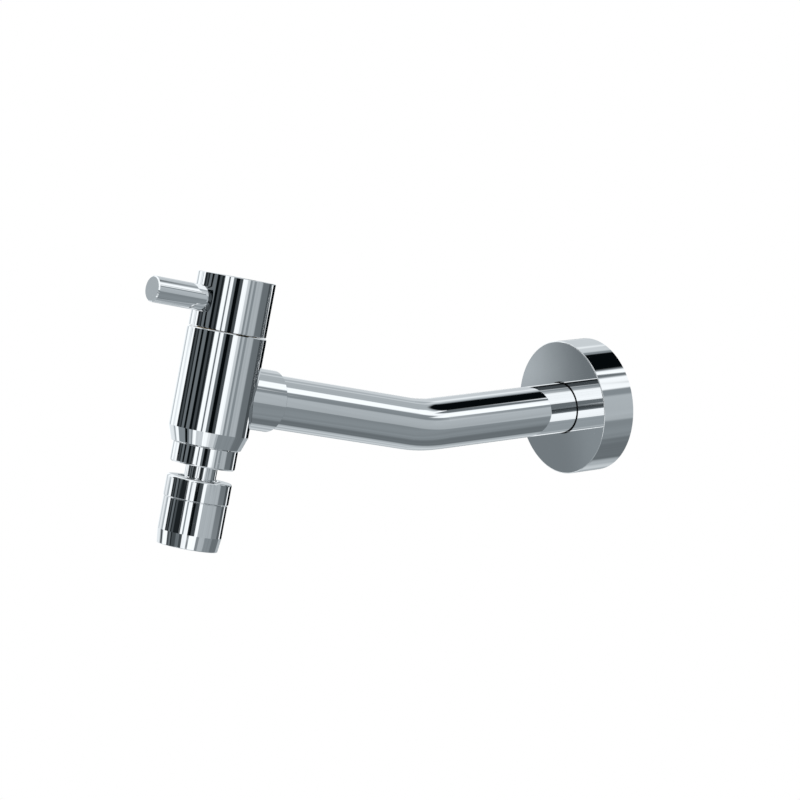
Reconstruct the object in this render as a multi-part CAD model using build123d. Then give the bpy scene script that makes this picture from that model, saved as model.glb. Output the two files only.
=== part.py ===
from build123d import *
from math import ceil, cos, hypot, radians, sin, sqrt, tan
import os

# Wall-mounted kitchen tap with a bent supply arm, a quarter-turn valve and a swivel outlet.
# Millimetres. The wall is the plane Y = 0, the tap stands out towards -Y, and +Z is up.
# The origin is where the supply pipe's axis meets the wall. X = 0 is the plane of symmetry.

# Clearances
fit_gap = 0.05        # between pieces that are screwed or pushed together, per side
running_gap = 0.05    # between a shaft and its bore, per side
seam = 0.3            # visible joint lines, and play between pieces that move
film = 0.02           # between the two ceramic discs
overcut = 1.0         # how far a cutting shape reaches past the wall that it opens

# Wall flange
flange_diameter = 58.6
flange_depth = 16.4
flange_wall = 1.2
flange_edge_round = 0.35
flange_hub_wall = 1.4
flange_hub_length = 5.2
flange_ring_gap = 0.55          # black ring that shows between the tube and the flange
flange_ring_section = 1.8
flange_lip = 0.7

# Supply pipe thread, half inch
pipe_thread_diameter = 20.955
pipe_thread_depth = 1.162
pipe_thread_pitch = 1.814
pipe_thread_turns = 8
pipe_thread_behind_wall = 13.0
pipe_thread_crest = 0.35
nipple_bore = 12.6
nipple_spigot_length = 14.0
nipple_hex = 13.0
nipple_hex_depth = 8.0

# Supply arm
tube_diameter = 22.0
tube_wall = 1.5
wall_to_bend = 94.5
bend_angle = 13.3
bend_radius = 70.0
bend_to_body = 104.4
tube_end_gap = 0.9              # between the tube's end and the valve body
collar_diameter = 25.2
collar_reach = 26.5             # far end of the collar, from the body's axis
collar_edge = 0.25
ferrule_thread_diameter = 18.0
ferrule_bore = 12.6
ferrule_spigot_length = 11.0
port_wall = 0.6                 # between the side port's floor and the chamber
ferrule_washer_thickness = 0.8

# Valve body
body_diameter = 32.3
body_above_arm = 24.5
body_below_arm = 15.6
body_top_bevel = 0.35
taper_length = 5.9
taper_end_diameter = 28.2
taper_edge_round = 0.3
chamber_diameter = 22.0
chamber_below_arm = 7.0
outlet_hole_diameter = 12.0
outlet_socket_depth = 7.0

# Ceramic cartridge
cartridge_diameter = 19.6
cartridge_wall = 1.6
cartridge_foot_gap = 1.0
cartridge_thread_diameter = 24.0
cartridge_thread_length = 10.0
cartridge_flange_diameter = 27.6
cartridge_flange_thickness = 2.5
cartridge_recess = 4.5
cartridge_hex = 21.0
cartridge_hex_height = 5.5
window_height = 5.5
window_angle = 52.0
window_count = 4
seal_thickness = 3.0
seal_bore = 12.0
disc_thickness = 3.0
disc_opening_angle = 80.0
disc_opening_inner_diameter = 6.0
disc_rim = 1.4
key_width = 3.0
key_length = 10.0
key_depth = 1.4
key_gap = 0.1

# Spindle
spindle_foot_diameter = 11.6
spindle_foot_height = 3.0
spindle_collar_diameter = 15.2
spindle_collar_height = 1.6
spindle_diameter = 10.0
spline_diameter = 8.0
spline_count = 20
spline_depth = 0.5
spline_length = 8.0
thrust_washer_thickness = 0.5
spindle_ring_section = 1.3
spindle_ring_spacing = 4.0
spindle_ring_below_hex = 4.0
stop_washer_diameter = 13.6
stop_washer_thickness = 1.5
stop_tab_reach = 9.4
stop_tab_angle = 30.0
stop_play_angle = 1.0
stop_rib_wall = 2.2
clip_thickness = 0.8
clip_diameter = 12.0
clip_groove_depth = 0.5
clip_opening_angle = 70.0

# Handle
handle_turn = 90.0
cap_diameter = 31.6
cap_wall = 2.2
cap_top_above_arm = 46.9
cap_top_thickness = 3.0
cap_edge_bevel = 0.35
cap_top_bevel = 0.4
hub_height = 12.8
hub_bore_depth = 10.2
lever_diameter = 10.5
lever_reach = 38.2              # lever's end, from the body's axis
lever_above_arm = 36.2
lever_edge = 0.45
lever_seat = 11.5               # lever's shoulder in the hub, from the body's axis
lever_thread_diameter = 6.0
grub_diameter = 5.0
grub_length = 7.4
grub_hex = 2.5
grub_hex_depth = 3.0
grub_hole_diameter = 5.6

# Collar nut and swivel neck
nut_diameter = 26.4
nut_height = 7.95
nut_edge = 0.55
nut_top_round = 0.2
nut_spigot_diameter = 20.4
nut_floor = 1.8
collar_washer_thickness = 1.0
collar_washer_bore = 13.0
neck_head_diameter = 16.5
neck_head_height = 7.0
neck_diameter = 12.9
neck_bore = 8.0
neck_exposed = 5.25             # between the collar nut and the upper shell
neck_washer_thickness = 0.5
neck_ring_section = 1.5
neck_clip_thickness = 1.0
neck_clip_groove = 0.8
neck_clip_play = 0.3

# Ball joint and shells
ball_cut_below = 6.0
ball_below_shell_top = 6.8
ball_lip_above = 3.8
tilt_limit = 15.0
upper_shell_length = 8.75
shell_step = 0.25               # upper shell's surface, outside the lower shell's
shell_top_round = 1.1
shell_seam = 0.2
seam_bevel = 0.2
skirt_length = 6.3
skirt_wall = 1.2
skirt_cover = 1.35              # lower shell's wall around the skirt
ball_bore_below = 0.5
seat_above = 0.8
seat_below = 7.5
seat_wall = 1.0                 # at the ball's widest
seat_bore = 11.0
seat_ring_section = 1.5
shell_washer_thickness = 1.2
shell_washer_width = 2.8
lower_shell_diameter = 26.0
lower_shell_length = 13.5       # straight part
tip_length = 5.8
tip_taper = 0.65                # per side
tip_edge = 0.3
lower_shell_wall = 1.65
tip_lip_height = 2.0
tip_lip_wall = 2.0
aerator_recess = 0.8
aerator_wall = 1.5
honeycomb_depth = 4.0
honeycomb_hole = 1.9
honeycomb_pitch = 2.4
screen_thickness = 0.4
screen_spacing = 1.2
screen_hole = 1.5
screen_pitch = 2.2
diffuser_thickness = 1.2
diffuser_hole = 1.2
diffuser_pitch = 2.6

# Radii and places that follow from the sizes
tube_radius = tube_diameter / 2
tube_bore_radius = tube_radius - tube_wall
body_radius = body_diameter / 2
arm_direction = Vector(0, -cos(radians(bend_angle)), sin(radians(bend_angle)))
bend_point = Vector(0, -wall_to_bend, 0)
body_centre = bend_point + arm_direction * bend_to_body

# The valve, handle and outlet are drawn upright about Z, with the arm coming in from +Y at
# height 0, and are then leaned towards the wall so that the arm meets them squarely.
body_place = Location(tuple(body_centre), (-bend_angle, 0, 0))

taper_top = -body_below_arm
taper_bottom = taper_top - taper_length
chamber_floor = -chamber_below_arm
socket_floor = taper_bottom + outlet_socket_depth
socket_radius = nut_spigot_diameter / 2 + fit_gap
tube_end = body_radius + tube_end_gap
port_floor = chamber_diameter / 2 + port_wall
port_radius = ferrule_thread_diameter / 2 + fit_gap

cartridge_seat = body_above_arm - cartridge_recess
cartridge_thread_bottom = cartridge_seat - cartridge_thread_length
cartridge_bottom = chamber_floor + cartridge_foot_gap
cartridge_bore_radius = cartridge_diameter / 2 - cartridge_wall
cartridge_top = cartridge_seat + cartridge_flange_thickness + cartridge_hex_height
disc_radius = cartridge_bore_radius - fit_gap * 2
fixed_disc_bottom = chamber_floor + seal_thickness
moving_disc_bottom = fixed_disc_bottom + disc_thickness + film
spindle_bottom = moving_disc_bottom + disc_thickness
spindle_collar_bottom = spindle_bottom + spindle_foot_height
spindle_collar_top = spindle_collar_bottom + spindle_collar_height
cartridge_ceiling = spindle_collar_top + thrust_washer_thickness + film
spindle_radius = spindle_diameter / 2
spline_radius = spline_diameter / 2
stop_washer_bottom = cartridge_top + seam / 2
clip_bottom = stop_washer_bottom + stop_washer_thickness + seam / 2

cap_radius = cap_diameter / 2
cap_bottom = body_above_arm + seam
cap_bore_radius = cap_radius - cap_wall
hub_top = cap_top_above_arm - cap_top_thickness
hub_bottom = hub_top - hub_height
hub_radius = cap_bore_radius - fit_gap * 2
hub_bore_top = hub_bottom + hub_bore_depth
spindle_top = hub_bore_top - seam

nut_top = taper_bottom - seam
nut_bottom = nut_top - nut_height
nut_spigot_top = socket_floor - collar_washer_thickness
nut_ledge = nut_bottom + nut_floor
neck_radius = neck_diameter / 2
neck_head_radius = neck_head_diameter / 2
neck_head_bottom = nut_ledge + neck_washer_thickness + film
neck_head_top = neck_head_bottom + neck_head_height
nut_bore_radius = neck_head_radius + running_gap

shell_top = nut_bottom - neck_exposed
shell_seam_height = shell_top - upper_shell_length
ball_centre = shell_top - ball_below_shell_top
lower_shell_radius = lower_shell_diameter / 2
upper_shell_radius = lower_shell_radius + shell_step
tip_radius = lower_shell_radius - tip_taper
skirt_radius = lower_shell_radius - skirt_cover - fit_gap
skirt_bore_radius = skirt_radius - skirt_wall
skirt_bottom = shell_seam_height - skirt_length
seat_radius = skirt_bore_radius - running_gap * 2
ball_socket_radius = seat_radius - seat_wall
ball_radius = ball_socket_radius - seam
seat_ring_centre_radius = (seat_bore / 2 + seat_radius) / 2
seat_top = ball_centre - seat_above
seat_bottom = ball_centre - seat_below
lower_shell_top = shell_seam_height - shell_seam
tip_top = shell_seam_height - lower_shell_length
tip_bottom = tip_top - tip_length
washer_top = skirt_bottom - fit_gap
washer_bottom = washer_top - shell_washer_thickness
aerator_radius = lower_shell_radius - lower_shell_wall
aerator_bore_radius = aerator_radius - aerator_wall
aerator_ledge = tip_bottom + tip_lip_height
aerator_nose_radius = tip_radius - tip_lip_wall
aerator_bottom = tip_bottom + aerator_recess


def turned(*corners):
    """Solid turned about Z. Each corner is (radius, height) or (radius, height, rounding)."""
    points = [corner[:2] for corner in corners]
    roundings = [corner[2] if len(corner) == 3 else 0 for corner in corners]
    outline = make_face(FilletPolyline(*points, radius=roundings, close=True))
    return revolve(Plane.XZ * outline, Axis.Z)


def ring(inner_radius, outer_radius, low, high):
    """Plain ring or sleeve about Z."""
    return turned((inner_radius, low), (outer_radius, low), (outer_radius, high), (inner_radius, high))


def rod(radius, low, high):
    """Round bar about Z."""
    return Pos(0, 0, low) * Cylinder(radius, high - low, align=(Align.CENTER, Align.CENTER, Align.MIN))


def bar_along_y(radius, start, end, height=0.0):
    """Round bar parallel to Y, from start to end."""
    turn = Rot(-90, 0, 0)
    bar = Cylinder(radius, end - start, align=(Align.CENTER, Align.CENTER, Align.MIN))
    return Pos(0, start, height) * turn * bar


def hexagon(across_flats, low, high):
    """Hexagonal bar about Z."""
    outline = RegularPolygon(across_flats / 2, 6, major_radius=False)
    return Pos(0, 0, low) * extrude(outline, high - low)


def sector(inner_radius, outer_radius, low, high, middle, angle):
    """Part of a ring, centred on a direction in degrees from +X."""
    outline = make_face(Polyline(
        (inner_radius, low), (outer_radius, low), (outer_radius, high), (inner_radius, high), close=True))
    return Rot(0, 0, middle - angle / 2) * revolve(Plane.XZ * outline, Axis.Z, angle)


def seal_ring(centre_radius, section, height):
    """Round-section rubber ring about Z."""
    return Pos(0, 0, height) * Torus(centre_radius, section / 2)


def honeycomb(hole, pitch, room, low, high):
    """Round holes on a triangular grid inside a circle of radius room, as bars to cut with."""
    places = []
    reach = ceil(2 * room / pitch)
    for row in range(-reach, reach + 1):
        for column in range(-reach, reach + 1):
            x = (column + row / 2) * pitch
            y = row * pitch * sqrt(3) / 2
            if hypot(x, y) + hole / 2 < room:
                places.append((x, y, low))
    bar = Cylinder(hole / 2, high - low, align=(Align.CENTER, Align.CENTER, Align.MIN))
    return [Pos(*place) * bar for place in places]


# Pieces at the wall, drawn about Z with Z pointing out of the wall, then laid along -Y
wall_place = Location((0, 0, 0), (90, 0, 0))


def make_wall_flange():
    radius = flange_diameter / 2
    bore = tube_radius + flange_ring_gap
    groove = tube_radius + flange_ring_section + running_gap
    hub = groove + flange_hub_wall
    inside = flange_depth - flange_wall
    hub_end = flange_depth - flange_hub_length
    cup = turned(
        (bore, flange_depth), (radius, flange_depth, flange_edge_round), (radius, 0),
        (radius - flange_wall, 0), (radius - flange_wall, inside), (hub, inside), (hub, hub_end),
        (bore, hub_end))
    groove_front = flange_depth - flange_lip
    return cup - ring(bore - flange_ring_gap, groove, groove_front - flange_ring_section - seam, groove_front)


def make_flange_o_ring():
    middle = flange_depth - flange_lip - (flange_ring_section + seam) / 2
    centre_radius = tube_radius + running_gap + flange_ring_section / 2 - fit_gap
    return seal_ring(centre_radius + fit_gap / 2, flange_ring_section - fit_gap, middle)


def make_inlet_nipple():
    crest = pipe_thread_diameter / 2
    root = crest - pipe_thread_depth
    flank = (pipe_thread_pitch - 2 * pipe_thread_crest) / 2
    end = -pipe_thread_behind_wall
    corners = [(nipple_bore / 2, end), (root, end)]
    for turn in range(pipe_thread_turns):
        start = end + pipe_thread_crest + turn * pipe_thread_pitch
        corners += [
            (root, start), (crest, start + flank), (crest, start + flank + pipe_thread_crest),
            (root, start + 2 * flank + pipe_thread_crest)]
    shoulder = corners[-1][1] + pipe_thread_crest
    spigot = tube_bore_radius - fit_gap
    spigot_end = shoulder + nipple_spigot_length
    corners += [(root, shoulder), (spigot, shoulder), (spigot, spigot_end), (nipple_bore / 2, spigot_end)]
    return turned(*corners) - hexagon(nipple_hex, end, end + nipple_hex_depth)


def thread_shoulder():
    """Distance out of the wall at which the thread ends and the tube begins."""
    turns = pipe_thread_turns * pipe_thread_pitch
    return pipe_thread_crest * 2 - pipe_thread_behind_wall + turns - pipe_thread_crest


# Supply arm, drawn where it lies

def make_arm_tube():
    start = Vector(0, -thread_shoulder() - fit_gap, 0)
    end = body_centre - arm_direction * tube_end
    route = FilletPolyline(start, bend_point, end, radius=bend_radius)
    section = Plane(origin=start, z_dir=(0, -1, 0)) * (Circle(tube_radius) - Circle(tube_bore_radius))
    return sweep(section, path=route)


def make_arm_collar():
    bore = tube_radius + fit_gap
    collar = bar_along_y(collar_diameter / 2, 0, collar_reach)
    collar = chamfer(collar.edges().sort_by(Axis.Y)[-1], collar_edge)
    collar -= bar_along_y(bore, 0, collar_reach)
    return collar - rod(body_radius + fit_gap, -collar_diameter, collar_diameter)


def make_arm_ferrule():
    shoulder = tube_end - fit_gap
    ferrule = bar_along_y(ferrule_thread_diameter / 2, port_floor + ferrule_washer_thickness, shoulder)
    ferrule += bar_along_y(tube_bore_radius - fit_gap, shoulder, shoulder + ferrule_spigot_length)
    return ferrule - bar_along_y(ferrule_bore / 2, 0, shoulder + ferrule_spigot_length)


def make_ferrule_washer():
    washer = bar_along_y(ferrule_thread_diameter / 2, port_floor, port_floor + ferrule_washer_thickness)
    return washer - bar_along_y(ferrule_bore / 2, 0, port_floor + ferrule_washer_thickness)


# Valve body and cartridge, upright about Z

def make_valve_body():
    end = taper_end_diameter / 2
    body = turned(
        (0, taper_bottom), (end, taper_bottom, taper_edge_round), (body_radius, taper_top),
        (body_radius, body_above_arm - body_top_bevel), (body_radius - body_top_bevel, body_above_arm),
        (0, body_above_arm))
    body -= rod(cartridge_flange_diameter / 2 + fit_gap, cartridge_seat, body_above_arm)
    body -= rod(cartridge_thread_diameter / 2 + fit_gap, cartridge_thread_bottom, cartridge_seat)
    body -= rod(chamber_diameter / 2, chamber_floor, cartridge_thread_bottom)
    body -= rod(outlet_hole_diameter / 2, socket_floor, chamber_floor)
    body -= rod(socket_radius, taper_bottom, socket_floor)
    body -= bar_along_y(port_radius, port_floor, body_diameter)
    return body - bar_along_y(ferrule_bore / 2, 0, port_floor)


def make_cartridge_housing():
    flange_top = cartridge_seat + cartridge_flange_thickness
    housing = rod(cartridge_diameter / 2, cartridge_bottom, cartridge_thread_bottom)
    housing += rod(cartridge_thread_diameter / 2, cartridge_thread_bottom, cartridge_seat)
    housing += rod(cartridge_flange_diameter / 2, cartridge_seat, flange_top)
    housing += hexagon(cartridge_hex, flange_top, cartridge_top)
    housing += make_stop_rib()
    groove_radius = cartridge_thread_diameter / 2 - spindle_ring_section
    groove_low = cartridge_seat - spindle_ring_section * 2
    groove_high = groove_low + spindle_ring_section + fit_gap * 2
    housing -= ring(groove_radius, cartridge_thread_diameter, groove_low, groove_high)
    housing -= rod(cartridge_bore_radius, cartridge_bottom, cartridge_ceiling)
    housing -= rod(spindle_radius + running_gap, cartridge_ceiling, cartridge_top)
    window_low = moving_disc_bottom + fit_gap
    for number in range(window_count):
        housing -= sector(
            cartridge_bore_radius - overcut, cartridge_diameter, window_low, window_low + window_height,
            (number + 0.5) * 360 / window_count, window_angle)
    return housing


def make_stop_rib():
    """Raised wall on the hexagon that stops the washer's tab at both ends of the turn."""
    free_angle = handle_turn + stop_tab_angle + 2 * stop_play_angle
    rib_inner = stop_washer_diameter / 2 + seam
    return sector(
        rib_inner, rib_inner + stop_rib_wall, cartridge_top, stop_washer_bottom + stop_washer_thickness,
        stop_middle() + 180, 360 - free_angle)


def stop_middle():
    """Direction of the tab half way through the handle's turn. The lever starts towards -Y."""
    return -90 + handle_turn / 2


def make_cartridge_o_ring():
    section = spindle_ring_section
    centre_radius = cartridge_thread_diameter / 2 - section / 2
    return seal_ring(centre_radius, section - fit_gap, cartridge_seat - section * 1.5 + fit_gap)


def make_seat_seal():
    return ring(seal_bore / 2, disc_radius, chamber_floor, fixed_disc_bottom)


def disc_openings(low, first):
    """Two opposite windows, used on both discs."""
    inner = disc_opening_inner_diameter / 2
    return [
        sector(inner, disc_radius - disc_rim, low, low + disc_thickness, first + turn, disc_opening_angle)
        for turn in (0, 180)]


def make_fixed_disc():
    disc = rod(disc_radius, fixed_disc_bottom, fixed_disc_bottom + disc_thickness)
    return disc - disc_openings(fixed_disc_bottom, 0)


def make_moving_disc():
    top = moving_disc_bottom + disc_thickness
    disc = rod(disc_radius - running_gap, moving_disc_bottom, top)
    for middle in (90, 270):
        disc -= sector(
            disc_opening_inner_diameter / 2, disc_radius + overcut, moving_disc_bottom, top, middle,
            disc_opening_angle)
    slot = Box(key_length + key_gap, key_width + key_gap, key_depth + key_gap)
    return disc - Pos(0, 0, top - (key_depth + key_gap) / 2) * slot


def make_spindle():
    foot = spindle_foot_diameter / 2
    collar = spindle_collar_diameter / 2
    spindle = turned(
        (0, spindle_bottom), (foot, spindle_bottom), (foot, spindle_collar_bottom),
        (collar, spindle_collar_bottom), (collar, spindle_collar_top), (spindle_radius, spindle_collar_top),
        (spindle_radius, cartridge_top), (spline_radius, cartridge_top), (spline_radius, spindle_top),
        (0, spindle_top))
    key = Box(key_length, key_width, key_depth)
    spindle += Pos(0, 0, spindle_bottom - key_depth / 2) * key
    for height in spindle_ring_heights():
        half = spindle_ring_section / 2
        spindle -= ring(spindle_radius - spindle_ring_section, spindle_diameter, height - half, height + half)
    groove_radius = spline_radius - clip_groove_depth
    spindle -= ring(groove_radius, spindle_diameter, clip_bottom, clip_bottom + clip_thickness + fit_gap)
    flute = Pos(spline_radius, 0, spindle_top - spline_length) * extrude(
        Rot(0, 0, 45) * Rectangle(spline_depth, spline_depth), spline_length)
    flutes = [Rot(0, 0, number * 360 / spline_count) * flute for number in range(spline_count)]
    return spindle - flutes


def spindle_ring_heights():
    top = cartridge_top - cartridge_hex_height - spindle_ring_below_hex
    return [top, top - spindle_ring_spacing]


def make_spindle_o_rings():
    centre_radius = spindle_radius - spindle_ring_section / 2
    rings = [
        seal_ring(centre_radius, spindle_ring_section - fit_gap, height) for height in spindle_ring_heights()]
    return Compound(children=rings)


def make_thrust_washer():
    return ring(
        spindle_radius + fit_gap, spindle_collar_diameter / 2, spindle_collar_top,
        spindle_collar_top + thrust_washer_thickness)


def make_stop_washer():
    top = stop_washer_bottom + stop_washer_thickness
    washer = ring(spline_radius + fit_gap, stop_washer_diameter / 2, stop_washer_bottom, top)
    tab_root = stop_washer_diameter / 2 - overcut
    return washer + sector(tab_root, stop_tab_reach, stop_washer_bottom, top, -90, stop_tab_angle)


def make_spindle_clip():
    inner = spline_radius - clip_groove_depth + fit_gap
    top = clip_bottom + clip_thickness
    clip = ring(inner, clip_diameter / 2, clip_bottom, top)
    return clip - sector(inner - overcut, clip_diameter, clip_bottom, top, 90, clip_opening_angle)


# Handle, upright about Z, with the lever towards -Y

def make_handle_hub():
    hub = rod(hub_radius, hub_bottom, hub_top)
    hub -= rod(spline_radius + fit_gap, hub_bottom, hub_bore_top)
    hub -= bar_along_y(lever_diameter / 2 + fit_gap, -cap_diameter, -lever_seat, lever_above_arm)
    hub -= bar_along_y(lever_thread_diameter / 2 + fit_gap, -cap_diameter, 0, lever_above_arm)
    return hub - bar_along_y(grub_diameter / 2 + fit_gap, 0, cap_diameter, lever_above_arm)


def make_handle_cap():
    outer = cap_radius
    inner = cap_bore_radius
    cap = turned(
        (0, hub_top), (inner, hub_top), (inner, cap_bottom), (outer - cap_edge_bevel, cap_bottom),
        (outer, cap_bottom + cap_edge_bevel), (outer, cap_top_above_arm, cap_top_bevel),
        (0, cap_top_above_arm))
    cap -= bar_along_y(lever_diameter / 2 + fit_gap, -cap_diameter, 0, lever_above_arm)
    return cap - bar_along_y(grub_hole_diameter / 2, 0, cap_diameter, lever_above_arm)


def make_lever():
    lever = bar_along_y(lever_diameter / 2, -lever_reach, -lever_seat, lever_above_arm)
    lever = chamfer(lever.edges().sort_by(Axis.Y)[0], lever_edge)
    stud_end = -spline_radius - seam
    return lever + bar_along_y(lever_thread_diameter / 2, -lever_seat, stud_end, lever_above_arm)


def make_grub_screw():
    start = spline_radius + film
    end = start + grub_length
    screw = bar_along_y(grub_diameter / 2, start, end, lever_above_arm)
    socket = Rot(-90, 0, 0) * hexagon(grub_hex, 0, grub_hex_depth)
    return screw - Pos(0, end - grub_hex_depth, lever_above_arm) * socket


# Collar nut and swivel neck, upright about Z

def make_collar_nut():
    outer = nut_diameter / 2
    spigot = nut_spigot_diameter / 2
    hole = neck_radius + running_gap
    nut = turned(
        (hole, nut_bottom), (outer - nut_edge, nut_bottom), (outer, nut_bottom + nut_edge),
        (outer, nut_top, nut_top_round), (spigot, nut_top), (spigot, nut_spigot_top),
        (nut_bore_radius, nut_spigot_top), (nut_bore_radius, nut_ledge), (hole, nut_ledge))
    low = neck_head_top + neck_clip_play
    groove = nut_bore_radius + neck_clip_groove
    return nut - ring(nut_bore_radius - overcut, groove, low, low + neck_clip_thickness + fit_gap)


def make_collar_washer():
    return ring(collar_washer_bore / 2, nut_spigot_diameter / 2, nut_spigot_top, socket_floor)


def neck_ring_height():
    return (neck_head_bottom + neck_head_top) / 2


def make_swivel_neck():
    head = neck_head_radius
    neck = rod(head, neck_head_bottom, neck_head_top)
    neck += rod(neck_radius, ball_centre, neck_head_bottom)
    ball = Pos(0, 0, ball_centre) * Sphere(ball_radius)
    neck += ball - rod(ball_radius, ball_centre - ball_radius, ball_centre - ball_cut_below)
    half = neck_ring_section / 2
    height = neck_ring_height()
    neck -= ring(head - neck_ring_section, neck_head_diameter, height - half, height + half)
    return neck - rod(neck_bore / 2, ball_centre - ball_radius, neck_head_top)


def make_neck_o_ring():
    centre_radius = neck_head_radius - neck_ring_section / 2
    return seal_ring(centre_radius, neck_ring_section - fit_gap, neck_ring_height())


def make_neck_washer():
    return ring(
        neck_radius + running_gap, neck_head_radius, nut_ledge, nut_ledge + neck_washer_thickness)


def make_neck_clip():
    low = neck_head_top + neck_clip_play
    high = low + neck_clip_thickness
    outer = nut_bore_radius + neck_clip_groove - fit_gap
    clip = ring(neck_radius, outer, low, high)
    return clip - sector(neck_radius - overcut, neck_head_diameter, low, high, 90, clip_opening_angle)


# Ball joint and outlet shells, upright about Z

def make_upper_shell():
    outer = upper_shell_radius
    shell = turned(
        (0, skirt_bottom), (skirt_radius, skirt_bottom), (skirt_radius, shell_seam_height),
        (outer - seam_bevel, shell_seam_height), (outer, shell_seam_height + seam_bevel),
        (outer, shell_top, shell_top_round), (0, shell_top))
    shell -= Pos(0, 0, ball_centre) * Sphere(ball_socket_radius)
    shell -= rod(skirt_bore_radius, skirt_bottom, ball_centre - ball_bore_below)
    # The mouth lets the neck lean to the tilt limit, and its lip is narrower than the ball.
    lip_height = ball_centre + ball_lip_above
    lip = sqrt(ball_socket_radius ** 2 - ball_lip_above ** 2)
    lean = radians(tilt_limit)
    mouth = neck_radius / cos(lean) + ball_below_shell_top * tan(lean) + seam
    return shell - turned((0, lip_height), (lip, lip_height), (mouth, shell_top), (0, shell_top))


def seat_ring_height():
    return washer_top + running_gap + seat_ring_section / 2


def make_ball_seat():
    seat = ring(seat_bore / 2, seat_radius, seat_bottom, seat_top)
    seat -= Pos(0, 0, ball_centre) * Sphere(ball_socket_radius)
    centre = seat_ring_centre_radius
    half = seat_ring_section / 2 + fit_gap
    return seat - ring(centre - half, centre + half, seat_bottom, seat_ring_height() + half)


def make_seat_o_ring():
    """Sits in the groove under the ball seat."""
    return seal_ring(seat_ring_centre_radius, seat_ring_section, seat_ring_height())


def make_shell_washer():
    outer = aerator_radius - fit_gap
    return ring(outer - shell_washer_width, outer, washer_bottom, washer_top)


def make_lower_shell():
    outer = lower_shell_radius
    thread = skirt_radius + fit_gap
    return turned(
        (aerator_nose_radius + fit_gap, tip_bottom), (tip_radius, tip_bottom, tip_edge),
        (outer, tip_top), (outer, lower_shell_top - seam_bevel), (outer - seam_bevel, lower_shell_top),
        (thread, lower_shell_top), (thread, washer_top), (aerator_radius, washer_top),
        (aerator_radius, aerator_ledge), (aerator_nose_radius + fit_gap, aerator_ledge))


def make_aerator_body():
    body = turned(
        (0, aerator_bottom), (aerator_nose_radius, aerator_bottom), (aerator_nose_radius, aerator_ledge),
        (aerator_radius - fit_gap, aerator_ledge), (aerator_radius - fit_gap, washer_bottom),
        (aerator_bore_radius, washer_bottom), (aerator_bore_radius, aerator_bottom + honeycomb_depth),
        (0, aerator_bottom + honeycomb_depth))
    return body - honeycomb(
        honeycomb_hole, honeycomb_pitch, aerator_bore_radius, aerator_bottom,
        aerator_bottom + honeycomb_depth)


def make_aerator_screens():
    screens = []
    for number in range(2):
        low = aerator_bottom + honeycomb_depth + number * screen_spacing
        high = low + screen_thickness
        screen = rod(aerator_bore_radius - fit_gap, low, high)
        screens.append(screen - honeycomb(screen_hole, screen_pitch, aerator_bore_radius, low, high))
    return Compound(children=screens)


def make_diffuser_disc():
    low = aerator_bottom + honeycomb_depth + 2 * screen_spacing
    high = low + diffuser_thickness
    disc = rod(aerator_bore_radius - fit_gap, low, high)
    return disc - honeycomb(diffuser_hole, diffuser_pitch, aerator_bore_radius, low, high)


pieces = {
    "wall_flange": (wall_place, make_wall_flange),
    "flange_o_ring": (wall_place, make_flange_o_ring),
    "inlet_nipple": (wall_place, make_inlet_nipple),
    "arm_tube": (Location(), make_arm_tube),
    "arm_collar": (body_place, make_arm_collar),
    "arm_ferrule": (body_place, make_arm_ferrule),
    "ferrule_washer": (body_place, make_ferrule_washer),
    "valve_body": (body_place, make_valve_body),
    "cartridge_housing": (body_place, make_cartridge_housing),
    "cartridge_o_ring": (body_place, make_cartridge_o_ring),
    "seat_seal": (body_place, make_seat_seal),
    "fixed_disc": (body_place, make_fixed_disc),
    "moving_disc": (body_place, make_moving_disc),
    "spindle": (body_place, make_spindle),
    "spindle_o_rings": (body_place, make_spindle_o_rings),
    "thrust_washer": (body_place, make_thrust_washer),
    "stop_washer": (body_place, make_stop_washer),
    "spindle_clip": (body_place, make_spindle_clip),
    "handle_hub": (body_place, make_handle_hub),
    "handle_cap": (body_place, make_handle_cap),
    "lever": (body_place, make_lever),
    "grub_screw": (body_place, make_grub_screw),
    "collar_nut": (body_place, make_collar_nut),
    "collar_washer": (body_place, make_collar_washer),
    "swivel_neck": (body_place, make_swivel_neck),
    "neck_o_ring": (body_place, make_neck_o_ring),
    "neck_washer": (body_place, make_neck_washer),
    "neck_clip": (body_place, make_neck_clip),
    "upper_shell": (body_place, make_upper_shell),
    "ball_seat": (body_place, make_ball_seat),
    "seat_o_ring": (body_place, make_seat_o_ring),
    "shell_washer": (body_place, make_shell_washer),
    "lower_shell": (body_place, make_lower_shell),
    "aerator_body": (body_place, make_aerator_body),
    "aerator_screens": (body_place, make_aerator_screens),
    "diffuser_disc": (body_place, make_diffuser_disc),
}

os.makedirs("parts", exist_ok=True)
for name, (place, make) in pieces.items():
    export_step(place * make(), f"parts/{name}.step")
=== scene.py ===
import math
from collections import namedtuple

import bmesh
import bpy
from bpy.props import FloatProperty, FloatVectorProperty, IntProperty, PointerProperty
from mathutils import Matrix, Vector


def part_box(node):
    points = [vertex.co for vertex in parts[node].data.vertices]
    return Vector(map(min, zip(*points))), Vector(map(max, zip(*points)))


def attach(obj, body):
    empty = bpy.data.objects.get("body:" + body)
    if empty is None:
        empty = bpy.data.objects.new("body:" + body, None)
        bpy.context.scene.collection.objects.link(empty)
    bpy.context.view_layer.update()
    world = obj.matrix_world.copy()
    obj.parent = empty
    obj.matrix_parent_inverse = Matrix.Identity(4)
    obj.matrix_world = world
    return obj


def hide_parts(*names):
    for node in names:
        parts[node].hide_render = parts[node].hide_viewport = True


bl_info = {
    "name": "Wall-mounted kitchen tap",
    "version": (1, 0, 0),
    "blender": (4, 5, 0),
    "location": "3D View > Sidebar > Tap",
    "description": "Finishes the parts of a wall-mounted kitchen tap and sets up its studio",
    "category": "Object",
}

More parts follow.
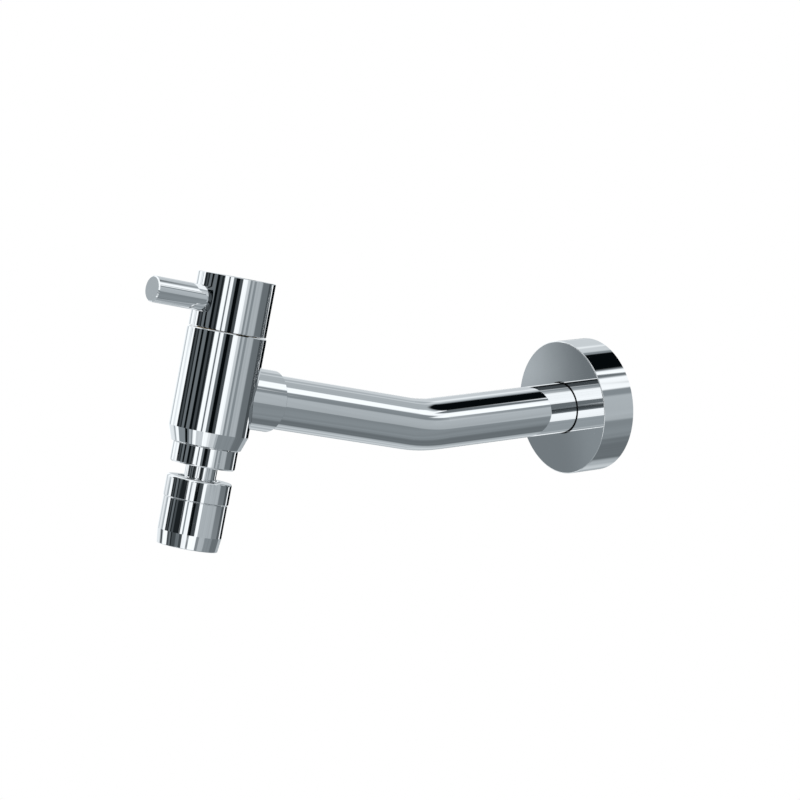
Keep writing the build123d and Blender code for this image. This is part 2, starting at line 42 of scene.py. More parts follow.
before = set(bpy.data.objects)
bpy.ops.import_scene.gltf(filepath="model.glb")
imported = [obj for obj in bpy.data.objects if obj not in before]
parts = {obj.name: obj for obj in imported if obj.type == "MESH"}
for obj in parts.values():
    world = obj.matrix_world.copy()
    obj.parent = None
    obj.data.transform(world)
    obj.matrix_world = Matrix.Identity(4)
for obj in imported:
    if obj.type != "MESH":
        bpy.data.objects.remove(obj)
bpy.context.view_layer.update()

MM = 0.001
# Points closer than this are one point, and edges shorter than this are dropped
WELD_GAP = 0.002 * MM
SLIVER = 0.001 * MM
SWEEP_WELD_GAP = 0.01 * MM
# Edges of a new piece that turn by more than this stay sharp
SHARP_TURN = math.radians(32)
# The thread's crest: which share of its flat is rounded at each corner, and how high the rounding starts
CORNER_SHARE = 0.25
CORNER_HEIGHT = 0.93
# Height of each finish's fine grain
BRASS_GRAIN = 0.002 * MM
RUBBER_PORES = 0.003 * MM
STEEL_GRAIN = 0.0015 * MM
CERAMIC_SPECK = 0.0006 * MM
PLASTIC_TEXTURE = 0.004 * MM
# The camera's film width, and the nearest and farthest distance that it sees
SENSOR_WIDTH = 36.0
CLIP_START = 0.01
CLIP_END = 100.0

# CAD parts by their finish, the chrome ones also by where they sit
CHROME_PARTS = {
    "wall": ["wall_flange"],
    "arm": ["arm_tube", "arm_collar"],
    "valve": ["valve_body"],
    "handle": ["handle_cap", "lever"],
    "outlet": ["collar_nut", "swivel_neck", "upper_shell", "lower_shell"],
}
BRASS_PARTS = ["arm_ferrule", "cartridge_housing", "spindle", "handle_hub"]
RUBBER_PARTS = [
    "flange_o_ring", "ferrule_washer", "cartridge_o_ring", "seat_seal", "spindle_o_rings",
    "collar_washer", "neck_o_ring", "seat_o_ring", "shell_washer"]
STEEL_PARTS = ["stop_washer", "spindle_clip", "grub_screw", "neck_clip", "aerator_screens"]
CERAMIC_PARTS = ["fixed_disc", "moving_disc"]
SLIDING_PLASTIC_PARTS = ["thrust_washer", "neck_washer", "ball_seat"]
AERATOR_PARTS = ["aerator_body", "diffuser_disc"]


# Shader building

class Shade:
    """One shader socket. Arithmetic on it adds Math nodes beside it."""

    def __init__(self, nodes, socket):
        self.nodes = nodes
        self.socket = socket

    def __add__(self, other):
        return self.nodes.maths("ADD", self, other)

    def __radd__(self, other):
        return self.nodes.maths("ADD", other, self)

    def __sub__(self, other):
        return self.nodes.maths("SUBTRACT", self, other)

    def __rsub__(self, other):
        return self.nodes.maths("SUBTRACT", other, self)

    def __mul__(self, other):
        return self.nodes.maths("MULTIPLY", self, other)

    def __rmul__(self, other):
        return self.nodes.maths("MULTIPLY", other, self)

    def __abs__(self):
        return self.nodes.maths("ABSOLUTE", self)


class Nodes:
    """The node tree of one material or of the studio's light."""

    def __init__(self, owner):
        owner.use_nodes = True
        self.tree = owner.node_tree
        self.tree.nodes.clear()

    def add(self, kind, settings=None, sockets=None, output=0):
        """Adds a node, gives it its settings and then its sockets' values or links."""
        node = self.tree.nodes.new(kind)
        for name, value in (settings or {}).items():
            if name == "stops":
                self.set_stops(node.color_ramp.elements, value)
            else:
                setattr(node, name, value)
        for key, value in (sockets or {}).items():
            if isinstance(value, Shade):
                self.tree.links.new(value.socket, node.inputs[key])
            else:
                node.inputs[key].default_value = value
        return Shade(self, node.outputs[output])

    def maths(self, operation, *values):
        """One Math node of an operation on values or sockets."""
        return self.add("ShaderNodeMath", {"operation": operation}, dict(enumerate(values)))

    @staticmethod
    def set_stops(elements, stops):
        """Gives a ramp its stops, pairs of a position and a colour. The first is at 0 and the last at 1."""
        elements[0].color = stops[0][1]
        elements[-1].color = stops[-1][1]
        for position, colour in stops[1:-1]:
            elements.new(position).color = colour

    def place(self):
        """Point on the piece, in the piece's own metres."""
        return self.add("ShaderNodeTexCoord", output="Object")

    def stretched(self, scale):
        """The piece's own coordinates, squeezed by a factor along each axis."""
        return self.add("ShaderNodeMapping", None, {"Vector": self.place(), "Scale": scale})

    def noise(self, size, detail=2.0, roughness=0.5, vector=None):
        """Soft noise from 0 to 1 whose blotches are about one size across, in metres."""
        return self.add("ShaderNodeTexNoise", None, {
            "Vector": vector or self.place(), "Scale": 1.0 / size, "Detail": detail,
            "Roughness": roughness}, "Fac")

    def step(self, value, start, end, low=0.0, high=1.0):
        """Smooth step of a value from low to high between start and end."""
        return self.add("ShaderNodeMapRange", {"interpolation_type": "SMOOTHSTEP"}, {
            "Value": value, "From Min": start, "From Max": end, "To Min": low, "To Max": high})

    def blend(self, factor, first, second):
        """Colour between two colours."""
        return self.add("ShaderNodeMix", {"data_type": "RGBA"}, {
            "Factor": factor, 6: first, 7: second}, 2)

    def bump(self, height, strength=1.0):
        """Surface normal moved by a height in metres."""
        return self.add("ShaderNodeBump", None, {
            "Height": height, "Distance": 1.0, "Strength": strength})

    def finish(self, **sockets):
        """Closes a material with its surface shader."""
        named = {name.replace("_", " ").title(): value for name, value in sockets.items()}
        surface = self.add("ShaderNodeBsdfPrincipled", None, named)
        self.add_output("ShaderNodeOutputMaterial", surface)

    def add_output(self, kind, surface):
        """Links a finished shader to an output node."""
        node = self.tree.nodes.new(kind)
        self.tree.links.new(surface.socket, node.inputs["Surface"])


def rgba(colour, factor=1.0):
    """Four-part colour, made darker or lighter by a factor."""
    return (*(min(1.0, part * factor) for part in colour), 1.0)


def new_material(name):
    """New material, and its empty node tree to fill."""
    material = bpy.data.materials.new(name)
    return material, Nodes(material)


# Finishes

def polished_chrome(finishes):
    """Chrome plate with soft wipe marks, hairline scratches and the slow swell that polishing leaves."""
    material, nodes = new_material("polished_chrome")
    haze = nodes.noise(14 * MM, 3.0, 0.6)
    wipes = nodes.noise(1.6 * MM, 2.0, 0.5, nodes.stretched((1.0, 0.12, 1.0)))
    smears = nodes.step(haze, 0.5, 0.72) * nodes.step(wipes, 0.45, 0.8)
    hairs = nodes.noise(0.25 * MM, 1.0, 0.4, nodes.stretched((1.0, 0.03, 0.35)))
    scratches = nodes.step(hairs, 0.72, 0.76)
    swell = nodes.noise(9 * MM, 1.0)
    nodes.finish(
        base_color=nodes.blend(smears, rgba(finishes.chrome_tint), rgba(finishes.chrome_tint, 0.97)),
        metallic=1.0,
        roughness=(
            finishes.chrome_roughness + finishes.smear_blur * smears + finishes.scratch_blur * scratches),
        normal=nodes.bump(finishes.polish_wave * swell - finishes.scratch_depth * scratches))
    return material


def turned_brass(finishes):
    """Bare brass, tarnished in clouds."""
    material, nodes = new_material("turned_brass")
    tarnish = nodes.noise(5 * MM, 4.0, 0.6)
    grain = nodes.noise(0.3 * MM, 2.0)
    nodes.finish(
        base_color=nodes.blend(
            nodes.step(tarnish, 0.35, 0.7), rgba(finishes.brass_colour), rgba(finishes.brass_colour, 0.72)),
        metallic=1.0,
        roughness=0.24 + 0.18 * tarnish + 0.06 * grain,
        normal=nodes.bump(BRASS_GRAIN * grain))
    return material


def moulded_rubber(finishes):
    """Black rubber with a pale bloom and fine pores."""
    material, nodes = new_material("moulded_rubber")
    bloom = nodes.noise(2.5 * MM, 4.0, 0.6)
    pores = nodes.noise(0.12 * MM, 2.0)
    nodes.finish(
        base_color=nodes.blend(
            nodes.step(bloom, 0.45, 0.8), rgba(finishes.rubber_colour), rgba(finishes.rubber_colour, 1.7)),
        roughness=0.55 + 0.2 * bloom,
        normal=nodes.bump(RUBBER_PORES * pores))
    return material


def stainless_steel(finishes):
    """Stainless steel with a fine grain along X."""
    material, nodes = new_material("stainless_steel")
    grain = nodes.noise(0.2 * MM, 2.0, 0.5, nodes.stretched((0.1, 1.0, 1.0)))
    cloud = nodes.noise(3 * MM, 3.0)
    nodes.finish(
        base_color=nodes.blend(cloud, rgba(finishes.steel_colour), rgba(finishes.steel_colour, 0.85)),
        metallic=1.0,
        roughness=0.22 + 0.16 * grain + 0.08 * cloud,
        normal=nodes.bump(STEEL_GRAIN * grain))
    return material


def lapped_ceramic(finishes):
    """Smooth pale ceramic with fine specks."""
    material, nodes = new_material("lapped_ceramic")
    speck = nodes.noise(0.15 * MM, 2.0)
    cloud = nodes.noise(4 * MM, 3.0)
    nodes.finish(
        base_color=nodes.blend(
            nodes.step(speck, 0.6, 0.75), rgba(finishes.ceramic_colour), rgba(finishes.ceramic_colour, 0.9)),
        roughness=0.16 + 0.12 * cloud,
        normal=nodes.bump(CERAMIC_SPECK * speck))
    return material


def moulded_plastic(name, colour):
    """Plastic in one colour with a fine mould texture."""
    material, nodes = new_material(name)
    texture = nodes.noise(0.18 * MM, 3.0, 0.6)
    cloud = nodes.noise(6 * MM, 2.0)
    nodes.finish(
        base_color=nodes.blend(cloud, rgba(colour), rgba(colour, 0.88)),
        roughness=0.34 + 0.18 * texture,
        normal=nodes.bump(PLASTIC_TEXTURE * texture))
    return material


def finish_named(context, name):
    """The finish of that name, made once and then shared."""
    finishes = context.scene.tap_finishes
    makers = {
        "polished_chrome": lambda: polished_chrome(finishes),
        "turned_brass": lambda: turned_brass(finishes),
        "moulded_rubber": lambda: moulded_rubber(finishes),
        "stainless_steel": lambda: stainless_steel(finishes),
        "lapped_ceramic": lambda: lapped_ceramic(finishes),
        "sliding_plastic": lambda: moulded_plastic("sliding_plastic", finishes.sliding_plastic_colour),
        "aerator_plastic": lambda: moulded_plastic("aerator_plastic", finishes.aerator_colour),
    }
    return bpy.data.materials.get(name) or makers[name]()


def coat(context, names, finish):
    """Gives CAD parts a finish in place of their plain colour."""
    material = finish_named(context, finish)
    for name in names:
        part = parts[name]
        part.data.materials.clear()
        part.data.materials.append(material)


# Inlet thread

def thread_profile(settings):
    """One turn of the thread as pairs: share of the pitch, share of the thread's depth."""
    flat = settings.crest_flat / settings.pitch
    flank = (1 - 2 * flat) / 2
    corner = flat * CORNER_SHARE
    return [
        (0.0, 0.0), (flank - corner, CORNER_HEIGHT), (flank + corner, 1.0), (flank + flat - corner, 1.0),
        (flank + flat + corner, CORNER_HEIGHT), (2 * flank + flat, 0.0)]


def threaded_tail(settings):
    """Brass tail: helical thread outside, plain spigot in the tube, bore with a hexagon socket."""
    low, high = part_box("inlet_nipple")
    wall_end = high.y
    spigot_end = low.y
    shoulder = wall_end - settings.length
    crest = high.z
    root = crest - settings.depth
    turns = math.ceil(settings.length / settings.pitch) + 1
    sides = settings.sides

    def helix_ring(step, share, depth):
        """One line of the thread's profile round the tail, as pairs of a radius and a place along it."""
        ring = []
        for side in range(sides):
            along = (step + share - side / sides) * settings.pitch
            y = min(max(wall_end - along, shoulder), wall_end)
            run_in = min(wall_end - y, y - shoulder) / settings.run_out
            radius = root + settings.depth * min(depth, max(run_in, 0.0))
            ring.append((radius, y))
        return ring

    rings = [[(root, wall_end)] * sides]
    for step in range(turns):
        for share, depth in thread_profile(settings):
            rings.append(helix_ring(step, share, depth))
    spigot = settings.spigot / 2
    rings.append([(root, shoulder)] * sides)
    rings.append([(spigot, shoulder)] * sides)
    rings.append([(spigot, spigot_end)] * sides)
    rings.append([(settings.bore / 2, spigot_end)] * sides)
    rings.append([(settings.bore / 2, wall_end - settings.hex_depth)] * sides)

    mesh = bmesh.new()
    grid = []
    for ring in rings:
        row = []
        for side, (radius, y) in enumerate(ring):
            angle = 2 * math.pi * side / sides
            row.append(mesh.verts.new((radius * math.cos(angle), y, radius * math.sin(angle))))
        grid.append(row)
    for row in hexagon_rows(settings, sides, wall_end):
        grid.append([mesh.verts.new(point) for point in row])
    for row, following in zip(grid, grid[1:] + grid[:1]):
        for side in range(sides):
            after = (side + 1) % sides
            mesh.faces.new((row[side], row[after], following[after], following[side]))
    bmesh.ops.remove_doubles(mesh, verts=mesh.verts, dist=WELD_GAP)
    bmesh.ops.dissolve_degenerate(mesh, edges=mesh.edges, dist=SLIVER)
    bmesh.ops.recalc_face_normals(mesh, faces=mesh.faces)
    return mesh


def hexagon_rows(settings, sides, wall_end):
    """The key socket's two outlines, from its floor out to the tail's end face."""
    floor = wall_end - settings.hex_depth
    rows = []
    for y in (floor, wall_end):
        row = []
        for side in range(sides):
            angle = 2 * math.pi * side / sides
            turn = (angle + math.pi / 6) % (math.pi / 3) - math.pi / 6
            radius = settings.hex_size / 2 / math.cos(turn)
            row.append((radius * math.cos(angle), y, radius * math.sin(angle)))
        rows.append(row)
    return rows


def object_from(mesh, name, material, sharp_above):
    """New object of a bmesh, smooth except across its sharp edges."""
    for face in mesh.faces:
        face.smooth = True
    for edge in mesh.edges:
        if len(edge.link_faces) == 2:
            edge.smooth = edge.calc_face_angle(0.0) < sharp_above
    data = bpy.data.meshes.new(name)
    mesh.to_mesh(data)
    mesh.free()
    data.materials.append(material)
    made = bpy.data.objects.new(name, data)
    bpy.context.scene.collection.objects.link(made)
    return made


# Studio light

# Painted boards stand round the tap, square to its valve body. Azimuth 0 is the way the lever points and
# grows towards +X, elevation 90 is up along the body, both in degrees. Boards come in a few greys, from 0
# for black to 1 for white.
TONES = {
    "black": 0.02, "soot": 0.11, "slate": 0.26, "grey": 0.40, "stone": 0.44, "ash": 0.50, "dove": 0.57,
    "silver": 0.65, "pearl": 0.77, "milk": 0.88, "white": 0.97}
# What the boards' cool cast adds to red, green and blue, and the grey that has the most of it
COOL_CAST = (0.0, 0.033, 0.053)
COOLEST_TONE = 0.55
# Where the count of azimuths starts. The rows at its left end start a little before it, so that no soft
# edge shows there.
STUDIO_SEAM = -94.0
# The most that a soft edge takes of a board in a row, as a share of its width
WIDEST_EDGE = 0.6

# A board by itself: its two ranges, its grey and the width of its soft edges
Board = namedtuple("Board", "azimuth elevation tone blur")
# Boards side by side: where the row starts, and each board's grey and where it ends
Row = namedtuple("Row", "start elevation boards")

SURROUND = [
    # Overhead, on the floor and under the tap
    Board((-100, 272), (68, 95), "pearl", 12),
    Board((112, 192), (-95, -6.5), "ash", 4),
    Board((154, 194), (-95, -24), "grey", 10),
    Board((150, 190), (-30, -6.5), "grey", 4),
    Board((200, 272), (-95, -9), "silver", 14),
    Board((209, 272), (-95, -20), "pearl", 10),
    Board((214, 230), (-55, -38), "silver", 6),
    Board((222, 240), (-24, -5.5), "silver", 3),
    Board((-45, 60), (-75, -57.5), "dove", 3),
    Board((10, 60), (-60, -47), "dove", 3),
    # Behind, level with the tap, with the thin dark and white edges that outline it
    Board((94, 141), (-6, 34), "silver", 5),
    Board((141, 194), (-6, 34), "grey", 6),
    Board((170, 193), (-6, 20), "slate", 6),
    Board((193, 204), (-6, 30), "ash", 5),
    Board((187, 196), (-6, 3), "white", 1.5),
    Board((196, 234), (-6, 4), "black", 1.5),
    # Behind and above
    Board((160, 240), (26, 58), "pearl", 8),
    Board((158, 206), (45, 60), "silver", 6),
    Board((204, 242), (8, 34), "pearl", 6),
    Board((141, 163), (41, 54), "white", 4),
    Board((122, 142), (25, 40), "ash", 4),
    Board((119, 133), (33.5, 48.5), "white", 3),
    Board((132, 144), (41, 48.5), "white", 3),
    Board((131, 142), (49.5, 58), "grey", 3),
    Board((142, 149), (53, 57), "white", 2),
    Board((212, 223), (38, 49), "silver", 4),
    Board((223, 230), (45, 56), "milk", 4),
    Board((203, 213), (56, 70), "ash", 4),
    Board((139, 206), (57.8, 76), "black", 3),
    # Left
    Board((238, 252), (-60, 2), "pearl", 3),
    Board((232, 252), (4, 16), "milk", 3),
    Board((239, 252), (-5, 6), "white", 2),
    Board((241.5, 256), (-12, 60), "white", 2),
    Board((256, 272), (-60, 60), "milk", 6),
    Board((-100, 48), (15, 60), "white", 6),
    Board((-48, -20), (10, 34), "slate", 4),
    Board((-20, 2), (20, 39), "ash", 8),
    Board((48, 124), (20, 50), "pearl", 8),
]
# In front, from the left to the right: level with the valve body, level with the outlet, lower, and on the
# floor
FRONT_ROWS = [
    Row(-100, (-9, 26), [
        ("silver", -89), ("pearl", -85), ("white", -69), ("milk", -60.5), ("white", -48.2), ("soot", -39.5),
        ("slate", -33), ("soot", -28), ("grey", -19.5), ("black", -12), ("grey", -1), ("black", 7.5),
        ("slate", 14.5), ("soot", 21), ("white", 24)]),
    Row(20, (-9, 18), [
        ("slate", 23), ("white", 34.7), ("grey", 39.3), ("white", 48.5), ("grey", 56), ("black", 66.8),
        ("slate", 76), ("white", 90), ("pearl", 98), ("ash", 104), ("silver", 111), ("ash", 118),
        ("silver", 128)]),
    Row(-100, (-9, -3.8), [
        ("pearl", -84), ("milk", -67), ("silver", -55.5), ("white", -42.5), ("soot", -36), ("slate", -30.5),
        ("soot", -25), ("grey", -17), ("soot", -12), ("slate", -4.5), ("soot", 18), ("white", 24)]),
    Row(18, (-9, -3.8), [
        ("slate", 22.4), ("white", 30.5), ("ash", 36), ("white", 49.5), ("soot", 54), ("black", 61.5),
        ("slate", 74.8), ("white", 86), ("silver", 128)]),
    Row(-100, (-22, -7.6), [
        ("milk", -72), ("silver", -66), ("slate", -55), ("pearl", -51), ("white", -29), ("slate", -20),
        ("grey", -13), ("soot", -7.5), ("slate", 8.5), ("grey", 21.5), ("slate", 32.3), ("white", 40)]),
    Row(38, (-22, -7.6), [
        ("white", 50), ("grey", 57.4), ("white", 84.5), ("ash", 95), ("silver", 117), ("ash", 128)]),
    Row(-100, (-46, -22), [
        ("milk", -74), ("pearl", -62), ("white", -49), ("ash", -22.8), ("black", -14.2), ("grey", -8),
        ("silver", 0), ("ash", 5), ("white", 17), ("pearl", 41), ("white", 47)]),
    Row(44, (-46, -22), [
        ("white", 56), ("milk", 66), ("pearl", 84), ("silver", 91), ("ash", 128)]),
]
# Small boards in front, for what the cover flange's flat face and the lever's end mirror, and for the tube's
# mirror image in the flange
SMALL_BOARDS = [
    Board((-56, -50.5), (-21.5, -14.5), "grey", 1.5),
    Board((-60, -52.8), (-17.7, -14), "silver", 1.6),
    Board((-56, -50), (-22, -18), "stone", 0.5),
    Board((-52.6, -50), (-22, -18.1), "ash", 0.8),
    Board((-59.6, -57), (-1.0, 0.8), "silver", 0.6),
    Board((42.5, 58), (1.2, 15), "grey", 1.5),
    Board((49.5, 56), (-14, -6), "slate", 2),
    Board((49, 57), (-46, -18.6), "white", 2),
    Board((-9, 9), (-30, -23), "slate", 1.5),
    Board((27, 34.5), (-16.8, -10.8), "pearl", 1.2),
]


def light_of(tone):
    """Linear light of a tone as a screen shows it, from 0 for black to 1 for white."""
    return tone / 12.92 if tone <= 0.04045 else ((tone + 0.055) / 1.055) ** 2.4


def board_colour(name):
    """Light of a board's grey, with its cool cast."""
    tone = TONES[name]
    cast = 1 - abs(tone - COOLEST_TONE)
    return (*(light_of(tone + cast * part) for part in COOL_CAST), 1.0)


def studio_directions(nodes, lean):
    """Azimuth and elevation of a direction, measured round an axis that leans as the valve body does."""
    direction = nodes.add("ShaderNodeTexCoord", output="Generated")

    def along(*axis):
        """How far the direction goes along an axis."""
        return nodes.add(
            "ShaderNodeVectorMath", {"operation": "DOT_PRODUCT"}, {0: direction, 1: axis}, "Value")

    up = along(0.0, math.sin(lean), math.cos(lean))
    ahead = along(0.0, -math.cos(lean), math.sin(lean))
    aside = along(1.0, 0.0, 0.0)
    turn = nodes.maths("DEGREES", nodes.maths("ARCTAN2", aside, ahead))
    azimuth = nodes.maths("WRAP", turn, STUDIO_SEAM + 360.0, STUDIO_SEAM)
    return azimuth, nodes.maths("DEGREES", nodes.maths("ARCSINE", up))


def studio_light(world, studio):
    """Boards and rows of boards all round the tap, by their direction, under a softly folded cloth."""
    nodes = Nodes(world)
    azimuth, elevation = studio_directions(nodes, studio.lean)

    def within(value, limits, blur):
        """1 between two limits and 0 outside them, with soft edges."""
        low, high = limits
        away = abs(value - (low + high) / 2)
        return nodes.step(away, (high - low + blur) / 2, (high - low - blur) / 2)

    def cover(colour, azimuths, elevations, blur, tone):
        """The colour with a board or a row of boards in front of it."""
        mask = within(azimuth, azimuths, blur) * within(elevation, elevations, blur)
        return nodes.blend(mask, colour, tone)

    colour = board_colour("silver")
    for board in SURROUND:
        colour = cover(colour, board.azimuth, board.elevation, board.blur, board_colour(board.tone))
    for row in FRONT_ROWS:
        end = row.boards[-1][1]
        place = nodes.add("ShaderNodeMapRange", None, {
            "Value": azimuth, "From Min": row.start, "From Max": end})
        ramp = nodes.add("ShaderNodeValToRGB", {"stops": row_stops(row, studio.board_edge)}, {"Fac": place})
        colour = cover(colour, (row.start, end - studio.row_edge), row.elevation, studio.row_edge, ramp)
    for board in SMALL_BOARDS:
        colour = cover(colour, board.azimuth, board.elevation, board.blur, board_colour(board.tone))
    folds = nodes.add("ShaderNodeTexNoise", {"noise_dimensions": "2D"}, {
        "Vector": nodes.add("ShaderNodeCombineXYZ", None, {0: azimuth, 1: elevation * studio.fold_stretch}),
        "Scale": 1.0 / studio.fold_width, "Detail": 2.0})
    strength = studio.brightness * (1.0 + studio.fold_depth * (folds - 0.5))
    light = nodes.add("ShaderNodeBackground", None, {"Color": colour, "Strength": strength})
    nodes.add_output("ShaderNodeOutputWorld", light)


def row_stops(row, edge):
    """A ramp's stops for boards that stand side by side, with soft edges between them."""
    end = row.boards[-1][1]
    stops = []
    left = row.start
    for name, right in row.boards:
        soft = min(edge, WIDEST_EDGE * (right - left)) / 2
        for place in (left + soft, right - soft):
            stops.append(((place - row.start) / (end - row.start), board_colour(name)))
        left = right
    return [(0.0, stops[0][1]), *stops[1:-1], (1.0, stops[-1][1])]


def studio_sweep(studio):
    """Floor that curves up into a wall and a ceiling all round."""
    reach = studio.sweep_radius
    bend = studio.sweep_bend
    floor = -studio.floor_depth
    outline = [(0.0, floor), (reach - bend, floor)]
    angles = [step / studio.sweep_steps * math.pi / 2 for step in range(1, studio.sweep_steps + 1)]
    for angle in angles:
        outline.append((
            reach - bend + bend * math.sin(angle), floor + bend - bend * math.cos(angle)))
    for angle in angles:
        outline.append((reach * math.cos(angle), reach * math.sin(angle) + floor + bend))
    mesh = bmesh.new()
    verts = [mesh.verts.new((radius, 0.0, height)) for radius, height in outline]
    edges = [mesh.edges.new(pair) for pair in zip(verts, verts[1:])]
    bmesh.ops.spin(
        mesh, geom=verts + edges, cent=(0, 0, 0), axis=(0, 0, 1), angle=2 * math.pi,
        steps=studio.sweep_sides, use_merge=True)
    bmesh.ops.remove_doubles(mesh, verts=mesh.verts, dist=SWEEP_WELD_GAP)
    return mesh


def paper_white(studio):
    """The floor's and backdrop's even glow."""
    material, nodes = new_material("paper_white")
    glow = nodes.add("ShaderNodeEmission", None, {
        "Color": rgba(studio.floor_colour), "Strength": studio.floor_brightness})
    nodes.add_output("ShaderNodeOutputMaterial", glow)
    return material


# Settings

def length(name, description, millimetres):
    """Setting for a length, in metres, with its default in millimetres."""
    return FloatProperty(
        name=name, description=description, default=millimetres * MM, unit="LENGTH", precision=4)


def tint(name, description, colour):
    """Setting for a colour."""
    return FloatVectorProperty(
        name=name, description=description, default=colour, size=3, min=0, max=1, subtype="COLOR")


class TapFinishes(bpy.types.PropertyGroup):
    """Colours and surface marks of the tap's materials"""
    chrome_tint: tint("Chrome", "Colour of the chrome plate", (0.93, 0.932, 0.936))
    chrome_roughness: FloatProperty(
        name="Chrome roughness", description="Blur of the plate's reflections", default=0.025,
        min=0, max=1, subtype="FACTOR")
    smear_blur: FloatProperty(
        name="Smear blur", description="Roughness that wipe marks add", default=0.02, min=0, max=1)
    scratch_blur: FloatProperty(
        name="Scratch blur", description="Roughness that scratches add", default=0.05, min=0, max=1)
    polish_wave: length("Polish wave", "Height of the polished surface's slow swell", 0.0015)
    scratch_depth: length("Scratch depth", "Depth of the fine scratches", 0.0004)
    brass_colour: tint("Brass", "Colour of the turned brass", (0.78, 0.57, 0.27))
    rubber_colour: tint("Rubber", "Colour of the seals", (0.018, 0.018, 0.02))
    steel_colour: tint("Steel", "Colour of clips, screens and screws", (0.62, 0.62, 0.63))
    ceramic_colour: tint("Ceramic", "Colour of the valve discs", (0.86, 0.85, 0.81))
    sliding_plastic_colour: tint("Sliding plastic", "Colour of slip rings and ball seat", (0.85, 0.85, 0.82))
    aerator_colour: tint("Aerator plastic", "Colour of the aerator's inserts", (0.38, 0.39, 0.41))


class TapThread(bpy.types.PropertyGroup):
    """Half-inch pipe thread that screws the tap to the wall fitting"""
    pitch: length("Pitch", "Distance between two crests", 1.814)
    depth: length("Depth", "Height of a crest above the root", 1.162)
    crest_flat: length("Crest flat", "Width of the flat on a crest", 0.35)
    length: length("Threaded length", "Length of the thread along the pipe", 14.512)
    run_out: length("Run out", "Length over which the thread dies away at its ends", 0.8)
    bore: length("Bore", "Diameter of the waterway", 12.6)
    spigot: length("Spigot", "Diameter of the plain end inside the tube", 18.9)
    hex_size: length("Key size", "Hexagon socket across its flats", 13.0)
    hex_depth: length("Key depth", "Depth of the hexagon socket", 8.0)
    sides: IntProperty(
        name="Sides", description="Steps in one turn of the thread", default=96, min=24, max=192)


class TapStudio(bpy.types.PropertyGroup):
    """Camera, light and floor"""
    azimuth: FloatProperty(
        name="Camera azimuth", description="Direction of the camera round the tap",
        default=math.radians(53.738), subtype="ANGLE")
    elevation: FloatProperty(
        name="Camera elevation", description="Height of the camera above the horizon, as an angle",
        default=math.radians(9.413), subtype="ANGLE")
    distance: length("Camera distance", "From the camera to the point that it looks at", 1133.06)
    target: FloatVectorProperty(
        name="Target", description="Point that the camera looks at",
        default=(0.0, -0.104568, 0.011998), size=3, subtype="TRANSLATION")
    lens: FloatProperty(
        name="Focal length", description="Lens in millimetres on a 36 mm sensor", default=121.12,
        unit="CAMERA")
    brightness: FloatProperty(
        name="Light", description="Strength of the studio's light", default=1.075, min=0)
    lean: FloatProperty(
        name="Lean", description="Angle between the valve body and the upright, which the boards share",
        default=math.radians(13.3), subtype="ANGLE")
    board_edge: FloatProperty(
        name="Board edge", description="Soft edge between two boards of a row, in degrees", default=1.4,
        min=0)
    row_edge: FloatProperty(
        name="Row edge", description="Soft edge round a row of boards, in degrees", default=0.8, min=0)
    fold_width: FloatProperty(
        name="Fold width", description="Width of a fold in the cloth round the studio, in degrees",
        default=5.0, min=0.1)
    fold_stretch: FloatProperty(
        name="Fold stretch", description="Width of a fold against its height", default=0.15, min=0)
    fold_depth: FloatProperty(
        name="Fold depth", description="How much the folds change the light", default=0.3, min=0, max=1)
    floor_colour: tint("Floor", "Colour of the floor and backdrop", (1.0, 1.0, 1.0))
    floor_brightness: FloatProperty(
        name="Floor light", description="Brightness of the floor and backdrop", default=1.0, min=0)
    floor_depth: length("Floor depth", "Height of the tap's inlet above the floor", 1200.0)
    sweep_radius: length("Sweep radius", "From the tap to the backdrop", 6000.0)
    sweep_bend: length("Sweep bend", "Radius of the curve from floor to backdrop", 1500.0)
    sweep_steps: IntProperty(
        name="Sweep steps", description="Steps in each of the sweep's two curves", default=8, min=2)
    sweep_sides: IntProperty(name="Sweep sides", description="Sides of the sweep", default=64, min=8)


# Operators

class TAP_OT_wall_end(bpy.types.Operator):
    """Finish the cover flange and its ring, and make the threaded inlet tail"""
    bl_idname = "tap.wall_end"
    bl_label = "Wall end"

    def execute(self, context):
        coat(context, CHROME_PARTS["wall"], "polished_chrome")
        mesh = threaded_tail(context.scene.tap_thread)
        brass = finish_named(context, "turned_brass")
        tail = object_from(mesh, "threaded_inlet_tail", brass, SHARP_TURN)
        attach(tail, "arm")
        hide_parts("inlet_nipple")
        return {"FINISHED"}


class TAP_OT_supply_arm(bpy.types.Operator):
    """Finish the bent supply tube and its collar"""
    bl_idname = "tap.supply_arm"
    bl_label = "Supply arm"

    def execute(self, context):
        coat(context, CHROME_PARTS["arm"], "polished_chrome")
        return {"FINISHED"}


class TAP_OT_valve_body(bpy.types.Operator):
    """Finish the valve body"""
    bl_idname = "tap.valve_body"
    bl_label = "Valve body"

    def execute(self, context):
        coat(context, CHROME_PARTS["valve"], "polished_chrome")
        return {"FINISHED"}


class TAP_OT_handle(bpy.types.Operator):
    """Finish the handle's cap and lever"""
    bl_idname = "tap.handle"
    bl_label = "Handle"

    def execute(self, context):
        coat(context, CHROME_PARTS["handle"], "polished_chrome")
        return {"FINISHED"}


class TAP_OT_swivel_outlet(bpy.types.Operator):
    """Finish the collar nut, the neck with its ball and the two outlet shells"""
    bl_idname = "tap.swivel_outlet"
    bl_label = "Swivel outlet"

    def execute(self, context):
        coat(context, CHROME_PARTS["outlet"], "polished_chrome")
        return {"FINISHED"}


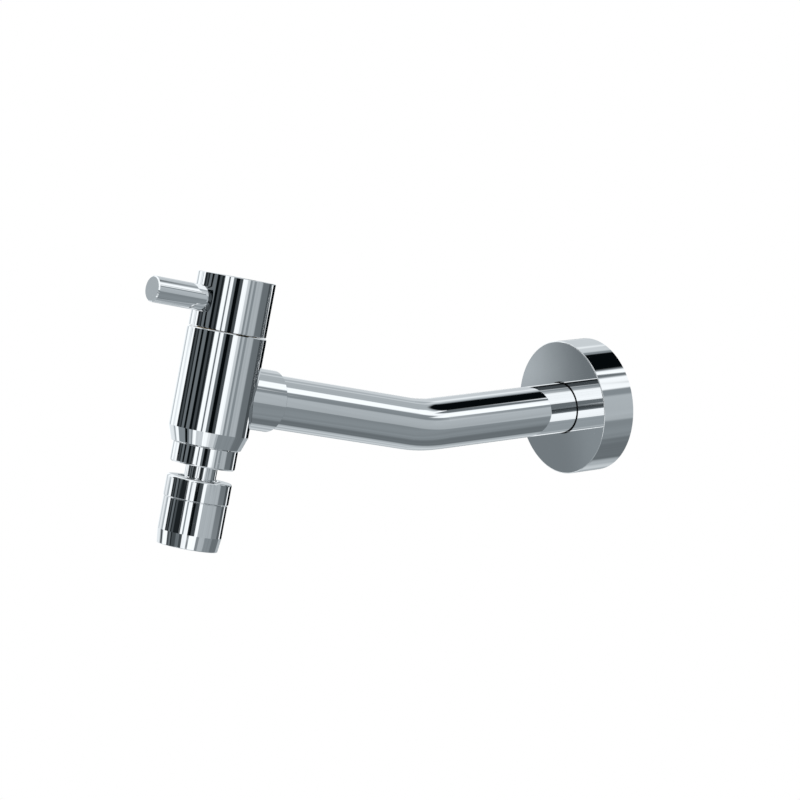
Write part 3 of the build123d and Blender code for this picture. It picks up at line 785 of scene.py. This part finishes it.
class TAP_OT_inner_parts(bpy.types.Operator):
    """Finish the valve's cartridge, the seals, clips, washers and aerator"""
    bl_idname = "tap.inner_parts"
    bl_label = "Inner parts"

    def execute(self, context):
        coat(context, BRASS_PARTS, "turned_brass")
        coat(context, RUBBER_PARTS, "moulded_rubber")
        coat(context, STEEL_PARTS, "stainless_steel")
        coat(context, CERAMIC_PARTS, "lapped_ceramic")
        coat(context, SLIDING_PLASTIC_PARTS, "sliding_plastic")
        coat(context, AERATOR_PARTS, "aerator_plastic")
        return {"FINISHED"}


class TAP_OT_studio(bpy.types.Operator):
    """Set up the floor, the light and the camera"""
    bl_idname = "tap.studio"
    bl_label = "Studio"

    def execute(self, context):
        scene = context.scene
        studio = scene.tap_studio
        sweep = object_from(studio_sweep(studio), "studio_floor", paper_white(studio), math.pi)
        sweep.visible_diffuse = False
        sweep.visible_glossy = False
        sweep.visible_transmission = False
        sweep.visible_shadow = False

        world = bpy.data.worlds.new("studio_light")
        studio_light(world, studio)
        scene.world = world

        lens = bpy.data.cameras.new("camera")
        lens.sensor_width = SENSOR_WIDTH
        lens.lens = studio.lens
        lens.clip_start = CLIP_START
        lens.clip_end = CLIP_END
        camera = bpy.data.objects.new("camera", lens)
        scene.collection.objects.link(camera)
        back = Vector((
            math.sin(studio.azimuth) * math.cos(studio.elevation),
            -math.cos(studio.azimuth) * math.cos(studio.elevation),
            math.sin(studio.elevation)))
        camera.location = Vector(studio.target) + back * studio.distance
        camera.rotation_euler = (-back).to_track_quat("-Z", "Y").to_euler()
        scene.camera = camera

        scene.view_settings.view_transform = "Standard"
        scene.view_settings.look = "None"
        return {"FINISHED"}


OPERATORS = [
    TAP_OT_wall_end, TAP_OT_supply_arm, TAP_OT_valve_body, TAP_OT_handle, TAP_OT_swivel_outlet,
    TAP_OT_inner_parts, TAP_OT_studio]


class TAP_PT_pieces(bpy.types.Panel):
    """Lists the tap's pieces and settings"""
    bl_idname = "TAP_PT_pieces"
    bl_label = "Kitchen tap"
    bl_space_type = "VIEW_3D"
    bl_region_type = "UI"
    bl_category = "Tap"

    def draw(self, context):
        column = self.layout.column()
        for operator in OPERATORS:
            column.operator(operator.bl_idname)
        for group in (context.scene.tap_finishes, context.scene.tap_thread, context.scene.tap_studio):
            box = self.layout.box()
            for name in group.__annotations__:
                box.prop(group, name)


GROUPS = {"tap_finishes": TapFinishes, "tap_thread": TapThread, "tap_studio": TapStudio}
CLASSES = [*GROUPS.values(), *OPERATORS, TAP_PT_pieces]


def register():
    """Adds the settings, operators and panel to Blender."""
    for made in CLASSES:
        bpy.utils.register_class(made)
    for name, group in GROUPS.items():
        setattr(bpy.types.Scene, name, PointerProperty(type=group))


def unregister():
    """Takes them out again."""
    for name in GROUPS:
        delattr(bpy.types.Scene, name)
    for made in reversed(CLASSES):
        bpy.utils.unregister_class(made)


def main():
    """Builds the tap and its studio."""
    register()
    bpy.ops.tap.wall_end()
    bpy.ops.tap.supply_arm()
    bpy.ops.tap.valve_body()
    bpy.ops.tap.handle()
    bpy.ops.tap.swivel_outlet()
    bpy.ops.tap.inner_parts()
    bpy.ops.tap.studio()


if __name__ == "__main__":
    main()
